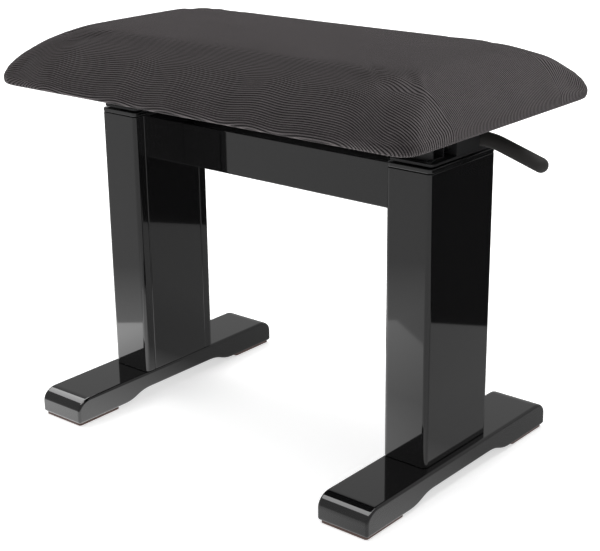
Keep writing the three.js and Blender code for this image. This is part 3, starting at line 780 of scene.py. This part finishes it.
# %% [markdown]
# ## Cushion
# The seat is foam on a board, pulled into a cover: nearly upright for the board's thickness,
# then leaning in to a flat crown. The shape is a stack of rounded rectangles. Cloth simulation
# then presses it out from inside while the part on the board is held, which gives the skin the
# tight, slightly uneven crown that a stack of outlines lacks.

# %% Cushion before it is filled
LEAN = np.array([36.0, 49.0]) * MM
# Rows of the profile: share of the seat's height, and how many times LEAN the sides stand in.
SHARE = np.array(
    [0, 0.03, 0.12, 0.24, 0.36, 0.47, 0.6, 0.72, 0.8, 0.86, 0.93, 0.97, 0.985, 0.995, 1.0]
)
LEANING = np.array(
    [0.04, 0.0, -0.02, -0.02, 0.03, 0.12, 0.27, 0.45, 0.59, 0.73, 1.0, 1.5, 2.1, 2.8, 3.3]
)
CORNER, CORNER_GROWTH = 24 * MM, 30 * MM  # radius at the board, and how it grows with the lean
seat_low, seat_high = node_box("seat_cover")
seat_middle = (seat_low + seat_high)[:2] / 2


def cushion_rings(shrink):
    """Rounded rectangles whose half sides are the seat's less lean x (36, 49) mm."""
    half = (seat_high - seat_low)[:2] / 2 - 0.5 * MM
    rings = []
    for share, lean in zip(SHARE, LEANING):
        side = half - lean * LEAN - shrink * min(share / 0.4, 1)
        radius = min(CORNER + max(lean - 0.3, 0) * CORNER_GROWTH, 0.9 * side.min())
        flat = rectangle(seat_middle - side, seat_middle + side, radius, 8)[0]
        height = seat_low[2] + share * (seat_high[2] - seat_low[2] - shrink)
        rings.append(np.column_stack([flat, np.full(len(flat), height)]))
    return np.stack(rings)


VOXEL, SHRINK, CAP = 5 * MM, 1.5 * MM, 4.5 * MM
rings = cushion_rings(SHRINK)
cushion = make_piece(
    "velvet_cushion", rings, prism_faces(*rings.shape[:2]), velvet, "seat_frame",
    ["seat_cover", "foam_core", "seat_board"],
)
remesh = cushion.modifiers.new("even_mesh", "REMESH")
remesh.mode, remesh.voxel_size = "VOXEL", VOXEL
apply_modifiers(cushion)
print("cushion mesh:", len(cushion.data.vertices), "points")


# %% Fill the cushion
def coordinates(mesh):
    """Vertex positions as rows."""
    flat = np.empty(3 * len(mesh.vertices))
    mesh.vertices.foreach_get("co", flat)
    return flat.reshape(-1, 3)


def put_coordinates(mesh, points):
    """Moves the vertices to new positions, given as rows."""
    mesh.vertices.foreach_set("co", points.ravel())
    mesh.update()


LAST_FRAME, PRESSURE = 20, 4


def fill(piece, held_below, cap):
    """Presses the cloth out from inside and gives back how far the simulation moved each point.

    A point that the simulation moves by a distance keeps only cap x tanh(distance / cap) of it.
    """
    start = coordinates(piece.data)
    group = piece.vertex_groups.new(name="held")
    for number in np.flatnonzero(start[:, 2] < held_below).tolist():
        group.add([number], 1.0, "REPLACE")
    cloth = piece.modifiers.new("cover", "CLOTH")
    cloth.settings.quality = 6
    cloth.settings.use_pressure = True
    cloth.settings.uniform_pressure_force = PRESSURE
    cloth.settings.vertex_group_mass = "held"
    cloth.settings.effector_weights.gravity = 0
    scene = bpy.context.scene
    for number in range(1, LAST_FRAME + 1):
        scene.frame_set(number)
    view = bpy.context.evaluated_depsgraph_get()
    moved = coordinates(piece.evaluated_get(view).to_mesh()) - start
    piece.modifiers.clear()
    scene.frame_set(1)
    distance = np.maximum(np.linalg.norm(moved, axis=1), 1e-9)
    kept = cap * np.tanh(distance / cap) / distance
    put_coordinates(piece.data, start + moved * kept[:, None])
    return distance


held = seat_low[2] + 12 * MM
distance = fill(cushion, held, CAP)
print("filled: simulated move up to", round(float(distance.max()) * 1000, 1), "mm,")
print("held to less than", round(CAP * 1000, 1), "mm")
smooth = cushion.modifiers.new("smooth", "SUBSURF")
smooth.levels = smooth.render_levels = 1
apply_modifiers(cushion)


# %% Pulls in the cover, and the weave map
PLATEAU_ROW = SHARE.tolist().index(0.97)
PLATEAU = (seat_high - seat_low)[:2] / 2 - LEANING[PLATEAU_ROW] * LEAN
PULL, PULL_EVERY = 1.1 * MM, 87 * MM
FAN_START = 160 * MM  # the cords start to turn towards the ends here
FAN_EASE = 32 * MM  # and turn fully this far down the flank
DRIFT_EASE = 45 * MM  # the sideways drift grows over this length


def pull_in(mesh):
    """Moves the flanks in by a cosine along the seat, times a bell over their height."""
    points = coordinates(mesh)
    normals = np.empty_like(points).ravel()
    mesh.vertex_normals.foreach_get("vector", normals)
    share = (points[:, 2] - seat_low[2]) / (seat_high[2] - seat_low[2])
    bell = np.exp(-(((share - 0.5) / 0.26) ** 2))
    along = points[:, 0] - seat_middle[0] + 1.13 * (points[:, 1] - seat_middle[1])
    wave = 0.5 + 0.5 * np.cos(2 * np.pi * along / PULL_EVERY + 0.6 * np.sin(along / (61 * MM)))
    put_coordinates(mesh, points - (PULL * bell * wave)[:, None] * normals.reshape(-1, 3))


def flank_length(reach):
    """Length along the flank at plan distance + drop = reach, from the profile of the rings."""
    rows = slice(PLATEAU_ROW, 1, -1)
    plan = (LEANING[PLATEAU_ROW] - LEANING[rows]) * LEAN[1]
    drop = (SHARE[PLATEAU_ROW] - SHARE[rows]) * (seat_high[2] - seat_low[2])
    steps = np.hypot(np.diff(plan), np.diff(drop))
    known = np.concatenate([[0], np.cumsum(steps), [steps.sum() + 40 * MM]])
    at = np.concatenate([plan + drop, [(plan + drop)[-1] + 40 * MM]])
    return np.interp(reach, at, known)


def weave_map(mesh):
    """UV = place along and across the cords.

    Outside the plateau, s is the distance down the flank and the angle round the corner goes
    from 0 at the ends to 90 degrees at the front. Across = half width + s sin(angle), along =
    half length + s cos(angle), each with the sign of its side, plus a slow sideways drift.
    """
    points = coordinates(mesh)
    flat = points[:, :2] - seat_middle
    size = np.abs(flat)
    out = np.maximum(size - PLATEAU, 0)
    drop = np.maximum(seat_high[2] - 1 * MM - points[:, 2], 0)
    s = flank_length(np.linalg.norm(out, axis=1) + drop)
    fan = np.maximum(size[:, 0] - FAN_START, 0) ** 2 / (2 * (PLATEAU[0] - FAN_START))
    fan *= np.clip(s / FAN_EASE, 0, 1)
    on_flank = size[:, 1] > PLATEAU[1]
    angle = np.arctan2(out[:, 1] + 0.4 * MM * on_flank, np.maximum(fan, out[:, 0]))
    angle = np.where(on_flank, angle, 0)
    sign = np.sign(flat) + (flat == 0)
    turned = np.stack([np.cos(angle), np.sin(angle)], -1)
    weave = sign * (np.minimum(size, PLATEAU) + s[:, None] * turned)
    x, y = flat.T
    drift = 1.5 * MM * np.sin(x / (15.5 * MM) + 9 * y) + 0.7 * MM * np.sin(x / (9.7 * MM) + 1)
    sway = 1.2 * MM * np.sin(x / (34 * MM) + 40 * y)
    weave[:, 1] += drift * np.clip(s / DRIFT_EASE, 0.12, 1) + sway
    corner = np.empty(len(mesh.loops), np.int32)
    mesh.loops.foreach_get("vertex_index", corner)
    layer = mesh.uv_layers.new(name="weave")
    layer.data.foreach_set("uv", weave[corner].astype(np.float32).ravel())


pull_in(cushion.data)
weave_map(cushion.data)
points = coordinates(cushion.data)
points[:, 2] = np.maximum(points[:, 2], seat_low[2])
put_coordinates(cushion.data, points)
cushion.data.polygons.foreach_set("use_smooth", np.ones(len(cushion.data.polygons), bool))
crown = round(points[:, 2].max() * 1000, 1)
print("cushion:", len(cushion.data.polygons), "faces, top at", crown, "mm")

# %% [markdown]
# ## Lining and staples
# Under the seat a thin black lining hides the board. It is cut as a rectangle, stretched and
# stapled near its edge, and between two staples the edge creeps in a little. The wire staples
# are bars with two short legs, all in one mesh.

# %% Lining
lining_low, lining_high = node_box("dust_cover")
cut_size = (lining_high - lining_low)[:2]
STAPLE_EVERY, CREEP, CLOTH = 45 * MM, 1.2 * MM, 0.35 * MM


def lining_points(rows=57, columns=97):
    """A flat grid whose border creeps in by a squared sine between staples."""
    v, u = np.meshgrid(np.linspace(-1, 1, rows), np.linspace(-1, 1, columns), indexing="ij")
    x, y = u * cut_size[0] / 2, v * cut_size[1] / 2
    creep_x = CREEP * np.sin(np.pi * y / STAPLE_EVERY) ** 2
    creep_y = CREEP * np.sin(np.pi * x / STAPLE_EVERY) ** 2
    x = x - creep_x * np.sign(u) * np.abs(u) ** 24
    y = y - creep_y * np.sign(v) * np.abs(v) ** 24
    slack = 0.08 * MM * np.sin(x / (19 * MM) + 2 * np.sin(y / (60 * MM))) * (1 - u**6) * (1 - v**6)
    middle = (lining_low + lining_high) / 2
    return np.stack([x + middle[0], y + middle[1], lining_high[2] - CLOTH + slack], -1)


points = lining_points()
lining = make_piece(
    "stretched_lining", points, grid_quads(*points.shape[:2], wrap_columns=False), lining_cloth,
    "seat_frame", ["dust_cover"],
)
thick = lining.modifiers.new("cloth_thickness", "SOLIDIFY")
thick.thickness, thick.offset = CLOTH, 0
apply_modifiers(lining)
print("lining:", [round(float(c) * 1000) for c in cut_size], "mm")


# %% Staples
STAPLE_INSET, LONG_COUNT, SHORT_COUNT = 5 * MM, 12, 7


def staple_line(length, count):
    """Centres of equal steps along a length, about its middle."""
    return (np.arange(count) - (count - 1) / 2) * length / count


def staples():
    """Centres and directions of the staples, in a row along each edge of the lining."""
    half = cut_size / 2 - STAPLE_INSET
    long_way = staple_line(2 * half[0], LONG_COUNT)
    short_way = staple_line(2 * half[1], SHORT_COUNT)
    rows = [(x, s * half[1], 0) for x in long_way for s in (-1, 1)]
    return rows + [(s * half[0], y, 1) for y in short_way for s in (-1, 1)]


def staple_points(x, y, turned):
    """A flat bar 10 mm long with its ends bent up into the board."""
    along = np.array([-5, -5, 5, 5]) * MM
    rise = np.array([0.9, 0, 0, 0.9]) * MM
    section = np.array([(-0.55, 0), (0.55, 0), (0.55, 0.35), (-0.55, 0.35)]) * MM
    inward = np.array([0.35, 0, 0, 0.35]) * MM
    a = along[:, None] + np.sign(-along)[:, None] * inward[:, None] * (section[None, :, 1] > 0)
    b = np.broadcast_to(section[None, :, 0], a.shape)
    h = rise[:, None] + section[None, :, 1] - 0.5 * MM
    flat = (b, -a) if turned else (a, b)
    middle = (lining_low + lining_high) / 2
    return np.stack([flat[0] + middle[0] + x, flat[1] + middle[1] + y, h + lining_low[2]], -1)


points, faces = [], []
for number, staple in enumerate(staples()):
    points.append(staple_points(*staple).reshape(-1, 3))
    faces += [[16 * number + i for i in face] for face in prism_faces(4, 4)]
wires = make_piece("lining_staples", np.concatenate(points), faces, zinc, "seat_frame")
wires.data.set_sharp_from_angle(angle=np.radians(30))
print("staples:", len(points))

# %% [markdown]
# ## Screws
# Button-head screws with a six-sided socket hold the seat to its bearers and close the steel
# plates. A head is one profile turned about its axis. In the socket the circle becomes a
# hexagon, whose radius at an angle is the flat's distance divided by the cosine of the angle
# from the flat's middle.

# %% Screws
HEAD_RADIUS, HEAD_HEIGHT, SOCKET = 4.6 * MM, 2.6 * MM, 1.5 * MM
BEARER_ROWS = [-112 * MM, -62 * MM, 62 * MM, 112 * MM]


def screw_rows(scale, columns=36):
    """Rings of one screw head: dome from its rim to the socket's mouth, then down the socket."""
    a = np.linspace(0, 2 * np.pi, columns + 1)[:-1]
    hexagon = 1 / np.cos((a + np.pi / 6) % (np.pi / 3) - np.pi / 6)
    t = np.linspace(0, 1, 9)[:, None]
    radius = HEAD_RADIUS * np.cos(t * 0.95)
    height = HEAD_HEIGHT * (0.18 + 0.82 * np.sin(t * 0.95) / np.sin(0.95))
    rim = [(HEAD_RADIUS * 0.94, 0), (HEAD_RADIUS, 0.06 * HEAD_HEIGHT)]
    dome = zip(radius[:, 0], height[:, 0])
    rows = [np.column_stack([np.full(columns, r), np.full(columns, h)]) for r, h in (*rim, *dome)]
    socket = SOCKET * hexagon
    for grow, h in ((1.12, 0.985), (1.0, 0.93), (1.0, 0.35), (0.3, 0.24)):
        rows.append(np.column_stack([socket * grow, np.full(columns, h * HEAD_HEIGHT)]))
    rows = np.stack(rows) * scale
    return np.stack([rows[..., 0] * np.cos(a), rows[..., 0] * np.sin(a), rows[..., 1]], -1)


def screws(name, places, axis, body, scale=1.0):
    """One mesh of screws with their seats at the given places, heads facing along the axis."""
    along = np.array(axis, float)
    side = np.array([0.0, 1, 0]) if abs(along[1]) < 0.5 else np.array([1.0, 0, 0])
    across = np.cross(side, along)
    points, faces, size = [], [], 0
    for place in places:
        rows = screw_rows(scale)
        turned = rows[..., :1] * across + rows[..., 1:2] * side + rows[..., 2:] * along + place
        points.append(turned.reshape(-1, 3))
        faces += [[size + i for i in face] for face in prism_faces(*rows.shape[:2])]
        size += rows.shape[0] * rows.shape[1]
    piece = make_piece(name, np.concatenate(points), faces, screw_black, body)
    piece.data.set_sharp_from_angle(angle=np.radians(50))


for side in ("left", "right"):
    low, high = node_box(f"seat_bearer_{side}")
    middle = (low + high) / 2
    spots = [(middle[0], y, low[2]) for y in BEARER_ROWS]
    screws(f"bearer_screws_{side}", spots, (0, 0, -1), "seat_frame")
    low, high = node_box(f"carrier_plate_{side}")
    plate_x = (low[0] + 8 * MM, high[0] - 8 * MM)
    plate_y = (low[1] + 6 * MM, high[1] - 6 * MM)
    spots = [(x, y, high[2]) for x in plate_x for y in plate_y]
    screws(f"plate_screws_{side}", spots, (0, 0, 1), "seat_frame", scale=0.8)
    low, high = node_box(f"beam_plate_{side}")
    inward = -1 if side == "right" else 1
    face = high[0] if side == "left" else low[0]
    spots = [(face, y, low[2] + 5 * MM) for y in (low[1] + 5 * MM, high[1] - 5 * MM)]
    screws(f"beam_screws_{side}", spots, (inward, 0, 0), "base", scale=0.8)
print("screws placed")

# %% [markdown]
# ## Studio
# The bench stands on a large pale floor. A wide soft key from above and a dim surround light the
# velvet and give each rounded corner its thin bright line. What the lacquer mirrors is mostly
# the floor, which in a studio is pale only where the light reaches and dark further out. A thin
# glowing sheet just above the floor, seen only by reflections, carries that tone as painted
# reflection: painted shade under the seat, a painted pool of light and painted dark beyond it.
# Its tones and straight borders are given. Floor, sheet and wall are stage, and no part of
# the bench.

# %% Floor and backdrop
def stage_plane(name, half, height, material):
    """A level square of the stage, centred on the frame's origin."""
    mesh = bpy.data.meshes.new(name)
    corners = [(x * half, y * half, height) for x, y in ((-1, -1), (1, -1), (1, 1), (-1, 1))]
    mesh.from_pydata(corners, [], [(0, 1, 2, 3)])
    mesh.materials.append(material)
    plane = bpy.data.objects.new(name, mesh)
    bpy.context.scene.collection.objects.link(plane)
    return plane


floor_paint = Finish(
    "pale_floor",
    base_color=(0.9, 0.9, 0.9),
    roughness=0.9,
    specular_ior_level=0.1,
    emission_color=(1.0, 1.0, 1.0),
    emission_strength=0.6,
)
backfacing = floor_paint.add("ShaderNodeNewGeometry")["Backfacing"]
floor_paint.set(alpha=1 - backfacing)
floor = stage_plane("floor", 40, 0, floor_paint.material)
floor.visible_glossy = False
print("floor: seen by the camera, not by reflections")

# %% [markdown]
# ## Far wall
# A low view would show a grey horizon where the floor ends. A white ring far out, seen by the
# camera only, hides it without lighting anything.

# %% Far wall
WALL_RADIUS, WALL_SIDES, WALL_HEIGHTS = 35, 96, (-30, 60)
white_paint = Finish(
    "white_wall", base_color=(0.0, 0.0, 0.0), emission_color=(1.0, 1.0, 1.0), emission_strength=1.0
)
a = np.linspace(0, 2 * np.pi, WALL_SIDES + 1)[:-1]
ring = [WALL_RADIUS * np.cos(a), WALL_RADIUS * np.sin(a)]
wall_points = np.stack([[*ring, 0 * a + h] for h in WALL_HEIGHTS]).transpose(0, 2, 1)
wall_mesh = bpy.data.meshes.new("far_wall")
wall_mesh.from_pydata(wall_points.reshape(-1, 3).tolist(), [], grid_quads(2, WALL_SIDES))
wall_mesh.materials.append(white_paint.material)
wall = bpy.data.objects.new("far_wall", wall_mesh)
bpy.context.scene.collection.objects.link(wall)
wall.visible_glossy = wall.visible_diffuse = False
wall.visible_shadow = wall.visible_transmission = False
print("far wall:", WALL_RADIUS, "m out")

# %% [markdown]
# ## Painted floor reflection
# The sheet's tone is a formula of place, and all of it is painted reflection. Under the seat it is
# dim, a painted shadow of the seat, and brighter in front. Around the seat it is a painted open
# pool of light, brighter in front and to the left. Past two straight borders in front the tone
# drops to a painted grey, and past two behind to a painted near black. A share here is a ramp from
# 0 to 1 across a distance.

# %% Painted floor reflection
SEAT_X = -0.0108  # middle of the seat along X
# Painted tones of the reflection: painted shadow under the seat, a painted pool of light round it,
# painted dark past the borders.
SEAT_SHADOW_TONE, POOL_TONE, OPEN_TONE, REAR_TONE = 0.24, 0.28, 0.5, 0.02
BORDER = 0.006  # how softly a border ends, in metres
# A glowing sheet that is no lamp: its emission is the painted reflection of the floor.
painted_reflection = Finish(
    "painted_floor_reflection", base_color=(0, 0, 0), specular_ior_level=0, emission_strength=1.0
)
parts = painted_reflection.add("ShaderNodeSeparateXYZ", {}, {"Vector": painted_reflection.place()})
x, y = parts["X"] - SEAT_X, parts["Y"]
size_x, size_y = x.size(), y.size()

outside_seat = (size_x - 0.27).or_more(size_y - 0.16).span(-0.03, 0.09)
left_share = (0 - x).span(-0.25, 0.34)
front_share = (0 - y).span(-0.06, 0.13)
# Painted shadow of the seat, lighter towards the front and less so to the right.
under_seat_shade = SEAT_SHADOW_TONE + front_share * (1.0 - 0.6 * x.span(0.08, 0.24))
# Painted pool of light round the seat, brighter in front and to the left.
open_front = OPEN_TONE + 1.6 * left_share**1.4
around = POOL_TONE + (open_front - POOL_TONE) * front_share
pool = under_seat_shade * (1 - outside_seat) + around * outside_seat
left_border = (0 - x) * 0.638 - y * 0.77 - 0.408
right_border = x * 0.538 - y * 0.843 - 0.334
beyond_front = left_border.or_more(right_border)
beyond_rear = size_x * 0.483 + y * 0.876 - 0.563
# Painted grey past the front borders, lighter to the left and near the border.
painted_front_grey = 0.45 + 0.45 * left_share * (1 - beyond_front.span(0, 0.25))
dark_front, dark_rear = beyond_front.span(0, BORDER), beyond_rear.span(0, BORDER)
tone = pool * (1 - dark_front) + painted_front_grey * dark_front
tone = tone * (1 - dark_rear) + REAR_TONE * dark_rear
channels = {"Red": tone, "Green": tone, "Blue": tone}
painted_reflection.set(emission_color=painted_reflection.add("ShaderNodeCombineColor", {}, channels)["Color"])
# The sheet that carries the painted reflection, seen by reflections only.
painted_reflection_sheet = stage_plane("painted_floor_reflection", 8, 0.0005, painted_reflection.material)
painted_reflection_sheet.visible_camera = painted_reflection_sheet.visible_diffuse = painted_reflection_sheet.visible_shadow = False
painted_reflection_sheet.visible_transmission = False
print("reflected floor: seen by reflections only")


# %% Lights
def light(name, kind, direction, **settings):
    """A lamp that shines from a direction towards the seat."""
    data = bpy.data.lights.new(name, kind)
    for key, value in settings.items():
        setattr(data, key, value)
    lamp = bpy.data.objects.new(name, data)
    way = Vector(direction).normalized()
    lamp.location = Vector((0, 0, 0.3)) + way * 2.4
    lamp.rotation_euler = way.to_track_quat("Z", "Y").to_euler()
    bpy.context.scene.collection.objects.link(lamp)
    return lamp


light("soft_key", "SUN", (-0.24, 0.08, 0.95), energy=2.6, angle=np.radians(70))

world = bpy.data.worlds.new("studio")
bpy.context.scene.world = world
world.use_nodes = True
world.node_tree.nodes["Background"].inputs["Color"].default_value = (0.3, 0.3, 0.3, 1)
bpy.context.scene.view_settings.view_transform = "Standard"
print("lights: key and surround")
